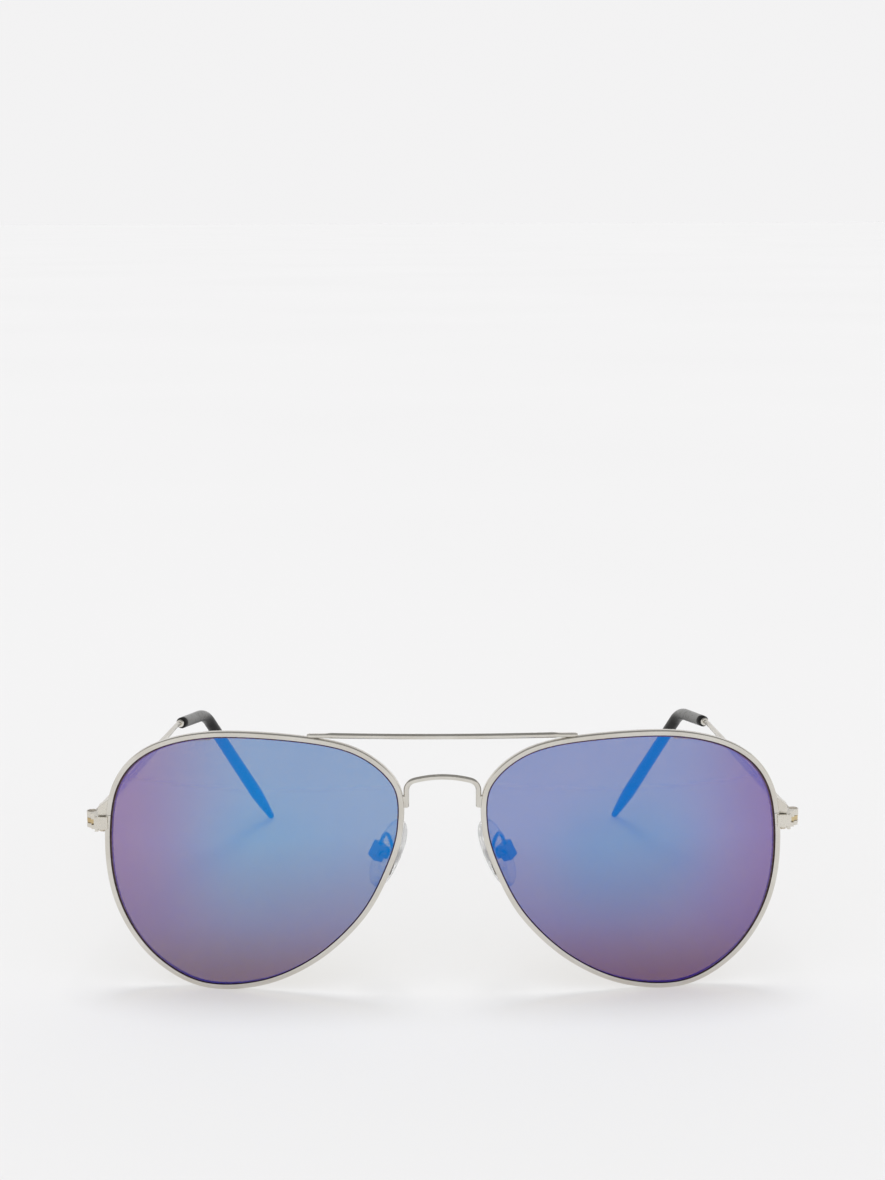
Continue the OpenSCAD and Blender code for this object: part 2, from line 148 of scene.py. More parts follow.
def from_pad(points):
    """From the pad's screw, X away from the nose and Z up the pad, to the row frame."""
    p = turned(turned(points, "z", -PAD_SPLAY), "y", -PAD_FRONTAL)
    return from_front(p + PAD_PIVOT)


def smooth(t):
    """A step from 0 to 1 that is level at both ends."""
    t = min(1, max(0, t))
    return t * t * (3 - 2 * t)


def catmull(a, b, c, d, t):
    return 0.5 * (2 * b + (c - a) * t + (2 * a - 5 * b + 4 * c - d) * t * t
                  + (3 * b - a - 3 * c + d) * t ** 3)


def catmull_slope(a, b, c, d, t):
    return 0.5 * ((c - a) + 2 * (2 * a - 5 * b + 4 * c - d) * t
                  + 3 * (3 * b - a - 3 * c + d) * t * t)


def through(points, steps):
    """A smooth open curve through points."""
    p = np.asarray(points, float)
    p = np.vstack([p[:1], p, p[-1:]])
    out = []
    for i in range(len(p) - 3):
        for k in range(steps):
            out.append(catmull(p[i], p[i + 1], p[i + 2], p[i + 3], k / steps))
    out.append(p[-1])
    return np.array(out)


def inset(s, distance):
    """A point of the rim's outline moved inwards, and the inward direction there."""
    n = len(OUTLINE)
    i = int(math.floor(s))
    four = [OUTLINE[(i + k) % n] for k in (-1, 0, 1, 2)]
    slope = unit(catmull_slope(*four, s - i))
    inward = np.array((-slope[1], slope[0]))
    return catmull(*four, s - i) + distance * inward, inward


def sag(p, radius=LENS_RADIUS):
    """How far the front surface of the lens falls back at a point of its plane."""
    return LENS_RADIUS - math.sqrt(radius * radius - p[0] * p[0] - p[1] * p[1])


def bend(a, b, c, radius, steps):
    """Points of the round bend that replaces the corner at b."""
    half = math.acos(float(unit(b - a) @ unit(c - b))) / 2
    inward = unit(unit(a - b) + unit(c - b))
    middle = b + inward * radius / math.cos(half)
    ahead = unit(unit(b - a) + unit(c - b))
    turns = [half * (2 * k / steps - 1) for k in range(steps + 1)]
    return np.array([middle + radius * (math.sin(t) * ahead - math.cos(t) * inward)
                     for t in turns])


def rounded_polygon(corners, steps):
    """Closed outline with each corner (x, y, radius) rounded."""
    out = []
    n = len(corners)
    for i, (x, y, r) in enumerate(corners):
        p = np.array((x, y), float)
        a = np.array(corners[i - 1][:2], float)
        c = np.array(corners[(i + 1) % n][:2], float)
        out.extend(bend(a, p, c, r, steps))
    return np.array(out)


def oval(sides, half_a, half_b, power=2.0):
    """Superellipse: power 2 is an ellipse and a larger one is a rounded rectangle."""
    a = np.arange(sides) * 2 * math.pi / sides
    c, s = np.cos(a), np.sin(a)
    return np.stack([half_a * np.sign(c) * np.abs(c) ** (2 / power),
                     half_b * np.sign(s) * np.abs(s) ** (2 / power)], 1)


# ---- Shells: (points, faces, material index of each face) ----


def tube(rings, slots=None):
    """A skin over rings of points, closed by its two ends."""
    rings = np.asarray(rings, float)
    count, sides = rings.shape[:2]
    faces, marks = [], []
    for i in range(count - 1):
        for j in range(sides):
            k = (j + 1) % sides
            faces.append((i * sides + j, i * sides + k, (i + 1) * sides + k, (i + 1) * sides + j))
            marks.append(slots[i] if slots else 0)
    faces.append(tuple(range(sides - 1, -1, -1)))
    faces.append(tuple((count - 1) * sides + j for j in range(sides)))
    marks += [slots[0] if slots else 0, slots[-1] if slots else 0]
    return rings.reshape(-1, 3), faces, marks


def sweep(path, sections, axis, first_ways=(), slots=None):
    """A tube along a path that never runs along axis, with one section for each point of it,
    drawn across and up. It takes the directions at its first points from first_ways, if given."""
    path = np.asarray(path, float)
    last = len(path) - 1
    rings = []
    for i, (p, section) in enumerate(zip(path, sections)):
        if i < len(first_ways):
            along = first_ways[i]
        else:
            along = unit(path[min(i + 1, last)] - path[max(i - 1, 0)])
        across = unit(np.cross(along, axis))
        up = np.cross(along, across)
        rings.append(p + section[:, :1] * across + section[:, 1:] * up)
    return tube(rings, slots)


def round_wire(path, radii, sides, axis):
    radii = np.broadcast_to(radii, len(path))
    return sweep(path, [oval(sides, r, r) for r in radii], axis)


def lathe(profile, sides):
    """A ring about Z from a closed profile of (radius, height)."""
    angles = np.arange(sides) * 2 * math.pi / sides
    rings = [[(r * math.cos(a), r * math.sin(a), z) for r, z in profile] for a in angles]
    points = np.array(rings)
    m = len(profile)
    faces = []
    for i in range(sides):
        k = (i + 1) % sides
        for j in range(m):
            q = (j + 1) % m
            faces.append((i * m + j, k * m + j, k * m + q, i * m + q))
    return points.reshape(-1, 3), faces, [0] * len(faces)


def rounded_box(low, high, radius):
    """A box with rounded edges."""
    bm = bmesh.new()
    bmesh.ops.create_cube(bm, size=1)
    low, high = np.array(low, float), np.array(high, float)
    for v in bm.verts:
        v.co = (low + high) / 2 + np.array(v.co) * (high - low)
    bmesh.ops.bevel(bm, geom=bm.edges[:], offset=radius, segments=3, profile=0.5,
                    affect="EDGES", clamp_overlap=True)
    bm.verts.ensure_lookup_table()
    points = np.array([v.co[:] for v in bm.verts])
    faces = [tuple(v.index for v in f.verts) for f in bm.faces]
    bm.free()
    return points, faces, [0] * len(faces)


def placed(shell, place):
    points, faces, marks = shell
    return place(points), faces, marks


def piece(name, side, shells, body, nodes, materials, sharp=35):
    """One smooth mesh from shells, which rides on a body and stands for CAD nodes."""
    points, faces, marks = [], [], []
    offset = 0
    for p, f, m in shells:
        points.append(p)
        faces += [tuple(i + offset for i in face) for face in f]
        marks += m
        offset += len(p)
    points = np.vstack(points) * MM
    if side < 0:
        points[:, 0] *= -1
    mesh = bpy.data.meshes.new(name)
    mesh.from_pydata(points.tolist(), [], faces)
    mesh.polygons.foreach_set("material_index", marks)
    bm = bmesh.new()
    bm.from_mesh(mesh)
    bmesh.ops.recalc_face_normals(bm, faces=bm.faces[:])
    bm.to_mesh(mesh)
    bm.free()
    mesh.shade_smooth()
    mesh.set_sharp_from_angle(angle=math.radians(sharp))
    for m in materials:
        mesh.materials.append(m)
    obj = bpy.data.objects.new(name, mesh)
    bpy.context.scene.collection.objects.link(obj)
    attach(obj, body)
    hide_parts(*nodes)
    return obj


# ---- Materials ----

# Heights in metres between which the tips turn from black to grey, a painted sheen
PAINTED_SHEEN_HEIGHTS = (0.0337, 0.036)
# Lens: heights between which the mirror turns to its foot colour, which is partly painted
# shadow, and the middle and the radii of the part where the tint lets the least red through,
# in metres
FOOT_TURN = (0.033, 0.003)
TINT_MIDDLE = (0.036, 0.027)
TINT_RADII = (0.004, 0.022)


class Nodes:
    """A node material in a few calls."""

    def __init__(self, name):
        self.material = bpy.data.materials.new(name)
        self.material.use_nodes = True
        self.tree = self.material.node_tree
        self.tree.nodes.clear()
        self.output = self.add("ShaderNodeOutputMaterial")
        self.coordinates = self.add("ShaderNodeTexCoord").outputs["Object"]

    def axes(self):
        """The X, Y and Z of a point of the object."""
        parts = self.add("ShaderNodeSeparateXYZ")
        self.link(self.coordinates, parts.inputs[0])
        return parts.outputs

    def add(self, kind, **settings):
        node = self.tree.nodes.new(kind)
        for key, value in settings.items():
            setattr(node, key, value)
        return node

    def link(self, source, target):
        self.tree.links.new(source, target)

    def set(self, node, **values):
        for key, value in values.items():
            socket = node.inputs[key.replace("_", " ")]
            if isinstance(value, bpy.types.NodeSocket):
                self.link(value, socket)
            else:
                socket.default_value = value
        return node

    def noise(self, scale, detail=3.0, stretch=(1, 1, 1)):
        """Noise with about scale patches to a metre."""
        mapping = self.add("ShaderNodeMapping")
        self.link(self.coordinates, mapping.inputs["Vector"])
        mapping.inputs["Scale"].default_value = stretch
        node = self.add("ShaderNodeTexNoise")
        self.set(node, Vector=mapping.outputs[0], Scale=scale, Detail=detail)
        return node.outputs["Fac"]

    def clouds(self, scale, detail=3.0):
        """Soft patches from 0 to 1."""
        return self.span(self.noise(scale, detail), 0.35, 0.65, 0, 1)

    def uneven(self, scale, detail, low, high):
        """A value that wanders between low and high."""
        return self.span(self.noise(scale, detail), 0.3, 0.7, low, high)

    def span(self, value, low, high, to_low, to_high, soft=False):
        """A value carried from low to high onto to_low to to_high, and held past them."""
        node = self.add("ShaderNodeMapRange")
        node.interpolation_type = "SMOOTHSTEP" if soft else "LINEAR"
        self.set(node, Value=value)
        for key, number in (("From Min", low), ("From Max", high),
                            ("To Min", to_low), ("To Max", to_high)):
            node.inputs[key].default_value = number
        return node.outputs["Result"]

    def mix(self, factor, a, b):
        node = self.add("ShaderNodeMix", data_type="RGBA")
        self.link(factor, node.inputs[0])
        for socket, value in ((node.inputs[6], a), (node.inputs[7], b)):
            if isinstance(value, bpy.types.NodeSocket):
                self.link(value, socket)
            else:
                socket.default_value = (*value, 1)
        return node.outputs[2]

    def maths(self, operation, a, b=0.0):
        node = self.add("ShaderNodeMath", operation=operation)
        for socket, value in zip(node.inputs, (a, b)):
            if isinstance(value, bpy.types.NodeSocket):
                self.link(value, socket)
            else:
                socket.default_value = value
        return node.outputs[0]

    def bump(self, height, strength, distance):
        node = self.add("ShaderNodeBump")
        self.set(node, Height=height, Strength=strength, Distance=distance)
        return node.outputs["Normal"]

    def principled(self, **values):
        node = self.add("ShaderNodeBsdfPrincipled")
        return self.set(node, **values)

    def blend(self, share, first, second):
        """The first shader, with a share of the second."""
        node = self.add("ShaderNodeMixShader")
        self.link(share, node.inputs[0])
        self.link(first.outputs[0], node.inputs[1])
        self.link(second.outputs[0], node.inputs[2])
        return node

    def finish(self, shader):
        self.link(shader.outputs[0], self.output.inputs["Surface"])
        return self.material


def plated_metal(name, light, dark, rough_low, rough_high):
    """Satin plating: cloudy colour, uneven gloss and very fine polishing marks."""
    n = Nodes(name)
    marks = n.noise(2600, 4, (1, 0.25, 1))
    shader = n.principled(Base_Color=n.mix(n.clouds(160, 4), light, dark), Metallic=1.0,
                          Roughness=n.uneven(900, 5, rough_low, rough_high),
                          Normal=n.bump(marks, 0.12, 0.03 * MM))
    return n.finish(shader)


def black_plastic(name, sheen):
    """Black moulding, greyed around the top of the ear bend by a painted sheen."""
    n = Nodes(name)
    clouds = n.clouds(300, 4)
    black = n.mix(clouds, (0.006, 0.006, 0.006), (0.011, 0.010, 0.009))
    light, dark = sheen, sheen * 0.85
    grey = n.mix(clouds, (light, light, sheen * 0.98), (dark, dark, sheen * 0.83))
    # Painted sheen: grey base colour high on the ear bend stands in for a reflection
    painted_sheen = n.span(n.axes()["Z"], *PAINTED_SHEEN_HEIGHTS, 0, 1, True)
    shader = n.principled(Base_Color=n.mix(painted_sheen, black, grey), IOR=1.30,
                          Roughness=n.uneven(1400, 4, 0.24, 0.36),
                          Normal=n.bump(n.noise(2200, 3), 0.10, 0.04 * MM))
    return n.finish(shader)


def clear_plastic(name, light, dark):
    """Clear moulding: half bends the light behind it, half lets it straight through."""
    n = Nodes(name)
    shader = n.principled(Base_Color=n.mix(n.clouds(350), light, dark), IOR=1.42,
                          Roughness=n.uneven(700, 3, 0.04, 0.12),
                          Normal=n.bump(n.noise(500, 2), 0.08, 0.05 * MM))
    n.set(shader, Transmission_Weight=1.0)
    clear = n.add("ShaderNodeBsdfTransparent")
    clear.inputs["Color"].default_value = (0.90, 0.90, 0.90, 1)
    path = n.add("ShaderNodeLightPath")
    share = n.span(path.outputs["Is Shadow Ray"], 0, 1, 0.5, 1)
    return n.finish(n.blend(share, shader, clear))


def lens_mirror(name, top, side, foot, tint, dip, foot_shadow, turn):
    """The coated front: a mirror whose colour turns towards the temple and the foot of the lens,
    over the tint that light passes through. The darker foot colour is partly the coating and
    partly painted shadow. The tint is multiplied by dip in the middle of the lens and by
    foot_shadow at its foot, which is painted shadow. The colour turns between the two distances
    of turn."""
    n = Nodes(name)
    axes = n.axes()
    drift = n.uneven(28, 2, -1.5 * MM, 1.5 * MM)
    across = n.maths("ADD", n.maths("ABSOLUTE", axes["X"]), drift)
    height = n.maths("ADD", axes["Z"], drift)
    to_temple = n.span(across, *turn, 0, 1, True)
    to_foot = n.span(height, *FOOT_TURN, 0, 1)
    mirror = n.add("ShaderNodeBsdfAnisotropic")
    # The foot colour is darker partly from the coating and partly as painted shadow seen in the
    # mirror
    n.set(mirror, Color=n.mix(to_foot, n.mix(to_temple, top, side), foot),
          Roughness=n.span(n.noise(90, 5), 0.35, 0.75, 0.05, 0.12))
    squares = [n.maths("POWER", n.maths("SUBTRACT", place, middle), 2)
               for place, middle in zip((across, height), TINT_MIDDLE)]
    near = n.span(n.maths("SQRT", n.maths("ADD", *squares)), *TINT_RADII, 1, 0, True)
    clear = n.add("ShaderNodeBsdfTransparent")
    passed = n.mix(near, tint, tuple(a * b for a, b in zip(tint, dip)))
    # At the foot the tint is cut as painted shadow seen through the lens
    n.link(n.mix(to_foot, passed, tuple(a * foot_shadow for a in tint)), clear.inputs["Color"])
    both = n.add("ShaderNodeAddShader")
    n.link(clear.outputs[0], both.inputs[0])
    n.link(mirror.outputs[0], both.inputs[1])
    return n.finish(both)


def lens_back():
    """The uncoated back of the lens: clear, with a reflection that is weak unless it is seen
    at a slant."""
    n = Nodes("lens_back")
    clear = n.add("ShaderNodeBsdfTransparent")
    tint = n.mix(n.uneven(60, 3, 0, 1), (0.60, 0.55, 0.34), (0.57, 0.52, 0.32))
    n.link(tint, clear.inputs["Color"])
    gloss = n.add("ShaderNodeBsdfAnisotropic")
    gloss.inputs["Color"].default_value = (0.9, 0.9, 0.9, 1)
    n.set(gloss, Roughness=n.span(n.noise(90, 4), 0.35, 0.75, 0.01, 0.06))
    slant = n.maths("POWER", n.add("ShaderNodeLayerWeight").outputs["Facing"], 3.0)
    return n.finish(n.blend(n.span(slant, 0, 1, 0.01, 0.3), clear, gloss))


def lens_edge(name, light, dark):
    """The ground edge of the lens, deep in colour because it is seen through its width; the
    darkest one, on the edge in the rim's groove, is painted shade.
    """
    n = Nodes(name)
    shader = n.principled(Base_Color=n.mix(n.clouds(500), light, dark),
                          Roughness=n.uneven(1200, 3, 0.15, 0.35))
    return n.finish(shader)


def pale_floor():
    """Pale paper without gloss."""
    n = Nodes("floor_paper")
    colour = n.mix(n.clouds(1.5), (0.789, 0.787, 0.789), (0.779, 0.777, 0.779))
    shader = n.principled(Base_Color=colour, Roughness=n.uneven(40, 2, 0.85, 0.95),
                          Specular_IOR_Level=0.0)
    return n.finish(shader)


METAL = plated_metal("plated_wire", (0.71, 0.685, 0.63), (0.65, 0.62, 0.56), 0.17, 0.25)
# Pad wire: a dark copy of the plated metal, painted shade for the unlit wire behind the lens
PAINTED_SHADE_ARM = plated_metal("plated_arm_painted_shade", (0.26, 0.25, 0.23), (0.19, 0.18, 0.165), 0.20, 0.32)
BLOCK = plated_metal("plated_block", (0.74, 0.71, 0.64), (0.66, 0.62, 0.55), 0.22, 0.32)
STEEL = plated_metal("turned_steel", (0.66, 0.60, 0.50), (0.52, 0.46, 0.37), 0.20, 0.34)
# Pad box, pad screw and pad insert: a near-black copy of the plated metal, painted shade
SHADED = plated_metal("plated_box_painted_shade", (0.14, 0.13, 0.12), (0.10, 0.09, 0.08), 0.26, 0.40)
# Knuckle: golden-brown, darker metal that is painted shade with a painted warm reflection
PAINTED_SHADE_KNUCKLE = plated_metal("knuckle_painted_shade", (0.66, 0.54, 0.32), (0.50, 0.36, 0.18), 0.22, 0.36)
# Ear sleeves: the grey on the ear bend is a painted sheen
BLACK = black_plastic("tip_black", 0.22)
BLACK_LIP = black_plastic("tip_black_lip", 0.012)
# The second pad material is a darker copy for the pad's side band: painted shade
CLEAR = [clear_plastic("pad_clear", (0.97, 0.975, 0.98), (0.93, 0.935, 0.94)),
         clear_plastic("pad_clear_painted_shade", (0.80, 0.81, 0.81), (0.72, 0.73, 0.73))]
# The dark lens edge is painted shade of the rim's groove
LENS_REST = [lens_back(),
             lens_edge("lens_edge_violet", (0.12, 0.07, 0.26), (0.09, 0.05, 0.20)),
             lens_edge("lens_edge_painted_shade", (0.060, 0.026, 0.030), (0.036, 0.016, 0.020))]
# foot and the foot share of the tint darken each lens's foot, partly as painted shadow
LENS = {
    "right": [lens_mirror("mirror_azure", top=(0.002, 0.205, 0.61), side=(0.05, 0.05, 0.42),
                          foot=(0.008, 0.02, 0.30), tint=(0.50, 0.38, 0.06), dip=(0.88, 1, 1),
                          foot_shadow=0.86, turn=(0.036, 0.067)), *LENS_REST],
    "left": [lens_mirror("mirror_blue", top=(0.002, 0.165, 0.575), side=(0.0, 0.03, 0.42),
                         foot=(0.0, 0.004, 0.27), tint=(0.51, 0.345, 0.06), dip=(0.76, 1, 1),
                         foot_shadow=0.78, turn=(0.042, 0.071)), *LENS_REST],
}

# ---- Front ----

RIM_STEPS = 26
GROOVE_FRONT = 0.36
GROOVE_BACK = 1.19
GROOVE_FLOOR = 0.6
RIM_BACK_LIP = 0.8
# (distance in from the outline, depth, corner radius), around the groove for the lens
RIM_PROFILE = rounded_polygon([
    (0, 0, 0.3), (RIM_FACE, 0, 0.14),
    (RIM_FACE, GROOVE_FRONT, 0.05), (GROOVE_FLOOR, GROOVE_FRONT, 0.05),
    (GROOVE_FLOOR, GROOVE_BACK, 0.03), (RIM_BACK_LIP, GROOVE_BACK, 0.03),
    (RIM_BACK_LIP, RIM_DEPTH, 0.08), (0, RIM_DEPTH, 0.3),
], 4)
LENS_STATIONS = 300
LENS_RINGS = 26
# Distances in from the outline: the lens's front edge, its tongue in the groove, its back edge
LENS_FRONT = RIM_FACE + 0.1
LENS_TONGUE = 0.7
LENS_BACK = 0.87
# Chamfer around the front: its width at the temple, and what the nose side adds to it
CHAMFER = 0.12
CHAMFER_MORE = 0.5
# Places in LENS: the mirror, the clear back, the violet chamfer and the edge darkened as painted
# shade
ON_FRONT, ON_BACK, ON_CHAMFER, ON_EDGE = range(4)


def rim():
    """The rim's profile carried around the outline, from one side of the split to the other."""
    stations = len(OUTLINE) * RIM_STEPS
    rings = []
    for i in range(stations + 1):
        s = SPLIT_AT + SPLIT_GAP / 2 + i * (len(OUTLINE) - SPLIT_GAP) / stations
        front = sag(inset(s, RIM_FACE)[0]) - LENS_RECESS
        ring = []
        for q in RIM_PROFILE:
            p = inset(s, q[0])[0]
            ring.append((p[0], front + q[1], p[1]))
        rings.append(ring)
    return placed(tube(rings), from_lens)


def lens():
    """Rings from the middle of the front, around the edge and back to the middle of the back."""
    marks, rings = [], []

    def ring(distance, depth, scale=1.0, back=False, extra=None):
        out = []
        for i in range(LENS_STATIONS):
            s = i * len(OUTLINE) / LENS_STATIONS
            _, inward = inset(s, 0)
            more = 0 if extra is None else extra(inward)
            p = inset(s, distance + more)[0] * scale
            fall = sag(p, LENS_RADIUS - LENS_THICKNESS) if back else sag(p) + depth
            out.append((p[0], fall, p[1]))
        return out

    def chamfer(inward):
        return CHAMFER + CHAMFER_MORE * max(0, -inward[0]) ** 1.5

    fractions = [(k + 0.02) / LENS_RINGS for k in range(LENS_RINGS)] + [1.0]
    for f in fractions:
        rings.append(ring(LENS_FRONT, 0, f, extra=chamfer))
        marks.append(ON_FRONT)
    marks[-1] = ON_CHAMFER
    rings.append(ring(LENS_FRONT, 0.03, extra=lambda v: 0.5 * chamfer(v)))
    for distance, depth in ((LENS_FRONT, 0.07), (LENS_FRONT, 0.26), (LENS_TONGUE, 0.3),
                            (LENS_TONGUE, 0.72), (LENS_BACK, 0.8)):
        marks.append(ON_EDGE)
        rings.append(ring(distance, depth))
    marks.append(ON_EDGE)
    rings.append(ring(LENS_BACK, 0, back=True))
    marks.append(ON_BACK)
    for f in reversed(fractions[:-1]):
        rings.append(ring(LENS_BACK, 0, f, back=True))
        marks.append(ON_BACK)
    return placed(tube(rings, marks[:-1]), from_lens)


def arc(centre_x, centre_z, radius, start, end, steps):
    """Points of the bridge's plane on an arc, without its last point."""
    angles = [start + (end - start) * k / steps for k in range(steps)]
    return [(centre_x + radius * math.cos(a), BRIDGE_DEPTH, centre_z + radius * math.sin(a))
            for a in angles]


def bridge_shells():
    """A round wire bent into an arch with two legs, and the foot that joins each leg to a rim."""
    corner_x = BRIDGE_LEG - CORNER_RADIUS
    reach = ARCH_RADIUS - CORNER_RADIUS
    half = math.asin(corner_x / reach)
    arch_z = BRIDGE_TOP - WIRE_R - ARCH_RADIUS
    corner_z = arch_z + reach * math.cos(half)
    up = math.pi / 2
    rounding = ((0, 0.5), (0.05, 0.7), (0.15, 0.87), (0.3, 0.97), (0.5, 1))
    leg = [(BRIDGE_LEG, BRIDGE_DEPTH, FOOT_BOTTOM + d) for d, _ in rounding]
    straight = FOOT_BOTTOM + rounding[-1][0]
    leg += [(BRIDGE_LEG, BRIDGE_DEPTH, straight + (corner_z - straight) * k / 6)
            for k in range(1, 6)]
    path = list(leg)
    path += arc(corner_x, corner_z, CORNER_RADIUS, 0, up - half, 16)
    path += arc(0, arch_z, ARCH_RADIUS, up - half, up + half, 36)
    path += arc(-corner_x, corner_z, CORNER_RADIUS, up + half, math.pi, 16)
    path += [(-x, y, z) for x, y, z in reversed(leg)]
    radii = [WIRE_R] * len(path)
    for k, (_, share) in enumerate(rounding):
        radii[k] = radii[-1 - k] = WIRE_R * share
    shells = [round_wire(path, radii, 28, (0, 1, 0))]
    for way in (-1, 1):
        xs = sorted((way * BRIDGE_LEG, way * FOOT_REACH))
        shells.append(rounded_box(
            (xs[0], BRIDGE_DEPTH - FOOT_HALF, FOOT_BOTTOM),
            (xs[1], BRIDGE_DEPTH + FOOT_HALF, FOOT_TOP), 0.2))
    return [placed(s, from_front) for s in shells]


def brow_shells():
    """A bowed round wire, pressed flat where it lies on the rims."""
    round_end = BROW_END - BROW_FLAT
    half = math.asin(round_end / BROW_BOW)
    centre_y = BROW_DEPTH + BROW_BOW * math.cos(half)
    path, sections = [], []
    steps = 120
    for k in range(steps + 1):
        x = BROW_END * (2 * k / steps - 1)
        inner = min(abs(x), round_end)
        y = centre_y - math.sqrt(BROW_BOW ** 2 - inner ** 2)
        flat = smooth((abs(x) - round_end + 0.9) / 1.6)
        end = min(1, max(0, (BROW_END - abs(x)) / 0.3))
        end = 0.72 + 0.28 * math.sqrt(end * (2 - end))
        depth = (WIRE_R + 0.1 * flat) * end
        height = (WIRE_R - 0.175 * flat) * end
        path.append((x, y, BROW_Z))
        sections.append(oval(28, height, depth, 2 + 2.5 * flat))
    return [placed(sweep(path, sections, (0, 1, 0)), from_front)]


# ---- Temples ----

knuckle_middle = from_front(np.array((*HINGE, sum(KNUCKLE) / 2)))
temple_way = unit(CROOK - knuckle_middle)
mouth_way = unit(EAR_BEND - CROOK)
mouth = CROOK + MOUTH_OFFSET * mouth_way
tip_way = unit(TIP_CENTRE - EAR_BEND)
ear = bend(CROOK, EAR_BEND, TIP_CENTRE, EAR_RADIUS, 28)
crook = bend(knuckle_middle, CROOK, EAR_BEND, CROOK_RADIUS, 16)


def temple_shells():
    """A flat strip that turns into the round wire in the sleeve, the collar at the sleeve's
    mouth, and the knuckle with its neck and its stop, which take the second material: a darker
    golden metal that is painted shade and warm reflection."""
    strip_length = float(np.linalg.norm(crook[0] - knuckle_middle))
    path, sections = [], []
    steps = 48
    for k in range(steps + 1):
        t = k / steps
        along = TEMPLE_START + (strip_length - TEMPLE_START) * t
        narrow = smooth((t - 0.62) / 0.34)
        nose = min(1, (along - TEMPLE_START) / 0.5 + 0.35)
        half_height = STRIP_HEIGHT / 2 + (WIRE_R - STRIP_HEIGHT / 2) * t
        half_thick = STRIP_THICK / 2 + (WIRE_R - STRIP_THICK / 2) * narrow
        path.append(knuckle_middle + temple_way * along)
        sections.append(oval(32, half_height * nose, half_thick * nose, 2 + 4 * (1 - narrow)))
    wire = oval(32, WIRE_R, WIRE_R)
    rest = list(crook[1:]) + list(ear) + [TIP_CENTRE - CORE_END * tip_way]
    path += rest
    sections += [wire] * len(rest)
    shells = [sweep(path, sections, (1, 0, 0))]
    collar = [mouth + d * mouth_way for d in (-1.0, -0.94, -0.8, -0.3, 0.1)]
    shells.append(round_wire(collar, [0.6, 0.78, 0.88, 0.9, 0.9], 28, (1, 0, 0)))
    low, high = KNUCKLE[0] + KNUCKLE_GAP, KNUCKLE[1] - KNUCKLE_GAP
    edge = 0.08
    outer = KNUCKLE_R - 0.05
    ring = lathe([
        (HINGE_BORE_R, low + edge / 2), (HINGE_BORE_R + edge / 2, low),
        (outer - edge, low), (outer - edge * 0.3, low + edge * 0.3),
        (outer, low + edge), (outer, high - edge),
        (outer - edge * 0.3, high - edge * 0.3), (outer - edge, high),
        (HINGE_BORE_R + edge / 2, high), (HINGE_BORE_R, high - edge / 2),
    ], 48)
    x, y = HINGE
    neck = rounded_box((x - 0.48, y + 0.75, low), (x + 0.28, y + TEMPLE_START + 0.4, high), 0.07)
    tooth = rounded_box((x - 0.87, y - 1.7, low), (x, y - 0.8, high), 0.05)
    fitted = [placed(ring, lambda p: p + np.array((x, y, 0))), neck, tooth]
    return shells + [placed((p, f, [1] * len(f)), from_front) for p, f, _ in fitted]


def tip_shells():
    """The sleeve: a lipped mouth, a slow swell past the ear and a taper to a round end."""
    taper_start = TIP_CENTRE - TAPER * tip_way
    span = float(np.linalg.norm(taper_start - mouth))

    def radius(p):
        past = float((p - taper_start) @ tip_way) / TAPER
        if past > 0 and p[2] < ear[-1][2]:
            return WIDE_R + (END_R - WIDE_R) * past ** 1.3
        return MOUTH_R + (WIDE_R - MOUTH_R) * float(np.linalg.norm(p - mouth)) / span

    straight = [mouth + (ear[0] - mouth) * k / 8 for k in range(1, 8)]
    down = [ear[-1] + (TIP_CENTRE - ear[-1]) * k / 36 for k in range(1, 37)]
    # (distance past the mouth, radius), from the bore out over the lip
    lip = [(0.32, 0.6), (0.03, 0.62), (0.0, 0.8), (0.0, 1.05), (0.06, 1.2), (0.2, 1.29)]
    path = [mouth + d * mouth_way for d, _ in lip]
    radii = [r for _, r in lip]
    for p in [*straight, *ear, *down]:
        path.append(p)
        radii.append(radius(p))
    for k in range(1, 13):
        a = math.radians(88) * k / 12
        path.append(TIP_CENTRE + END_R * math.sin(a) * tip_way)
        radii.append(END_R * math.cos(a))
    sections = [oval(40, r, r) for r in radii]
    slots = [1] * len(lip) + [0] * (len(path) - 1 - len(lip))
    return [sweep(path, sections, (1, 0, 0), [mouth_way] * len(lip), slots)]


# ---- Nose pads ----


def pad_arm_shells():
    """The bent wire from the rim to the box behind the pad."""
    path = through(PAD_ARM, 14)
    return [placed(round_wire(path, PAD_WIRE_R, 20, (1, 0, 0)), from_front)]


def pad_shells():
    """A cushion with round edges; its side band takes the darker second material, painted shade.
    """
    half_w, half_l = PAD_HALF
    # (depth from the back of the pad to its nose side, share of the full size)
    table = through([
        (-0.02, 0.10), (0, 0.45), (0, 0.66), (0.05, 0.78), (0.2, 0.88), (0.5, 0.96),
        (0.95, 1.0), (1.4, 0.975), (1.78, 0.88), (2.0, 0.74), (2.08, 0.5), (2.1, 0.1),
    ], 4)
    rings = []
    for depth, share in table:
        flat = oval(64, half_w * share, half_l * share, 2.3)
        rings.append([(PAD_FACE - depth, a, b) for a, b in flat])
    # The side band takes the second material: painted shade
    shells = [tube(rings, [1 if 0.3 < depth < 1.7 else 0 for depth, _ in table[:-1]])]
    return [placed(s, from_pad) for s in shells]


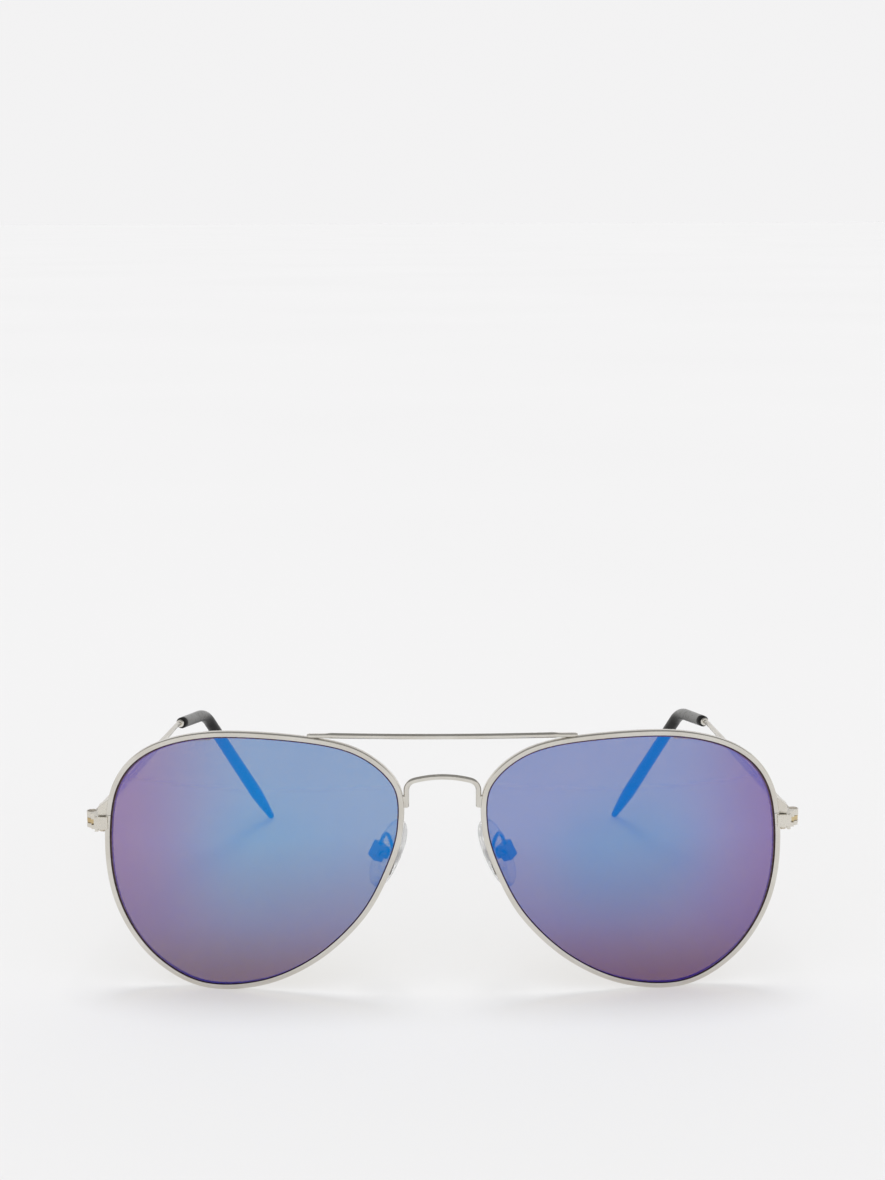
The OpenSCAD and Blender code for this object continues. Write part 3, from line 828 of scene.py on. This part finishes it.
for word, side in SIDES.items():
    piece(f"{word}_rim_wire", side, [rim()], "front", [f"{word}_rim"], [METAL])
    piece(f"{word}_tinted_lens", side, [lens()], "front", [f"{word}_lens"],
          LENS[word], 20)
    piece(f"{word}_side_arm", side, temple_shells(), f"{word}_temple", [f"{word}_temple"],
          [METAL, PAINTED_SHADE_KNUCKLE])
    piece(f"{word}_ear_sleeve", side, tip_shells(), f"{word}_temple", [f"{word}_temple_tip"],
          [BLACK, BLACK_LIP])
    piece(f"{word}_pad_wire", side, pad_arm_shells(), "front", [f"{word}_pad_arm"],
          [PAINTED_SHADE_ARM])
    piece(f"{word}_clear_pad", side, pad_shells(), f"{word}_nose_pad", [f"{word}_nose_pad"],
          CLEAR)
piece("bridge_wire", 1, bridge_shells(), "front", ["bridge"], [METAL])
piece("brow_wire", 1, brow_shells(), "front", ["brow_bar"], [METAL])

# ---- CAD nodes that stay: softened edges and plated metal ----

# Metal and width of the softened edges in millimetres; SHADED is a near-black painted shade
KEPT = {"closing_block_upper": (BLOCK, 0.08), "closing_block_lower": (BLOCK, 0.08),
        "endpiece": (BLOCK, 0.07), "pad_box": (SHADED, 0.8), "rim_screw": (STEEL, 0.04),
        "hinge_screw": (STEEL, 0.04), "pad_screw": (SHADED, 0.04), "pad_insert": (SHADED, 0.04)}
for word in SIDES:
    for kind, (metal, edge) in KEPT.items():
        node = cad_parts[f"{word}_{kind}"]
        node.data.materials.clear()
        node.data.materials.append(metal)
        weld = node.modifiers.new("weld", "WELD")
        weld.merge_threshold = 0.001 * MM
        flat = node.modifiers.new("flat", "DECIMATE")
        flat.decimate_type = "DISSOLVE"
        flat.angle_limit = math.radians(2)
        soft = node.modifiers.new("soft", "BEVEL")
        soft.width = edge * MM
        soft.segments = 3
        soft.limit_method = "ANGLE"
        soft.angle_limit = math.radians(32)
        soft.harden_normals = True

# ---- Studio ----

FLOOR_HALF = 30.0  # metres
WORLD_PALE = (0.896, 0.892, 0.896, 1)
WORLD_DARK = (0.30, 0.30, 0.30, 1)
# Heights of a view direction, 1 being overhead, between which the world darkens
WORLD_TURN = (0.40, 0.50)

floor_mesh = bpy.data.meshes.new("floor")
floor_mesh.from_pydata([(x * FLOOR_HALF, y * FLOOR_HALF, 0)
                        for x, y in ((-1, -1), (1, -1), (1, 1), (-1, 1))], [], [(0, 1, 2, 3)])
floor_mesh.materials.append(pale_floor())
floor = bpy.data.objects.new("floor", floor_mesh)
bpy.context.scene.collection.objects.link(floor)

world = bpy.data.worlds.new("studio")
bpy.context.scene.world = world
world.use_nodes = True
tree = world.node_tree
back = tree.nodes["Background"]
where = tree.nodes.new("ShaderNodeTexCoord")
split = tree.nodes.new("ShaderNodeSeparateXYZ")
tree.links.new(where.outputs["Generated"], split.inputs[0])
rise = tree.nodes.new("ShaderNodeMapRange")
rise.interpolation_type = "SMOOTHSTEP"
for key, number in zip(("From Min", "From Max", "To Min", "To Max"), (*WORLD_TURN, 0, 1)):
    rise.inputs[key].default_value = number
tree.links.new(split.outputs["Z"], rise.inputs["Value"])
tone = tree.nodes.new("ShaderNodeMix")
tone.data_type = "RGBA"
tree.links.new(rise.outputs["Result"], tone.inputs[0])
tone.inputs[6].default_value = WORLD_PALE
tone.inputs[7].default_value = WORLD_DARK
tree.links.new(tone.outputs[2], back.inputs["Color"])


def sun(name, power, spread, tilt, shadow):
    """A wide soft lamp, tilt degrees from overhead towards the front."""
    light = bpy.data.lights.new(name, "SUN")
    light.energy = power
    light.angle = math.radians(spread)
    light.use_shadow = shadow
    lamp = bpy.data.objects.new(name, light)
    lamp.rotation_euler = (math.radians(tilt), 0, 0)
    lamp.visible_glossy = False
    bpy.context.scene.collection.objects.link(lamp)


sun("key", power=0.66, spread=21, tilt=-11, shadow=True)
sun("fill", power=1.83, spread=60, tilt=25, shadow=False)

# ---- Camera ----

CAMERA_PLACE = (0.00015, -0.4956, 0.1541)  # metres
CAMERA_DOWN = math.radians(9.53)
CAMERA_ROLL = math.radians(-0.2)

camera_data = bpy.data.cameras.new("camera")
camera_data.lens = 68.74
camera_data.sensor_width = 36
camera_data.clip_start = 0.01
camera_data.clip_end = 100
camera = bpy.data.objects.new("camera", camera_data)
camera.location = CAMERA_PLACE
camera.rotation_mode = "XYZ"
camera.rotation_euler = (math.pi / 2 - CAMERA_DOWN, 0, 0)
camera.rotation_euler.rotate_axis("Z", CAMERA_ROLL)
bpy.context.scene.collection.objects.link(camera)
bpy.context.scene.camera = camera
bpy.context.scene.view_settings.view_transform = "Standard"

bpy.context.view_layer.update()
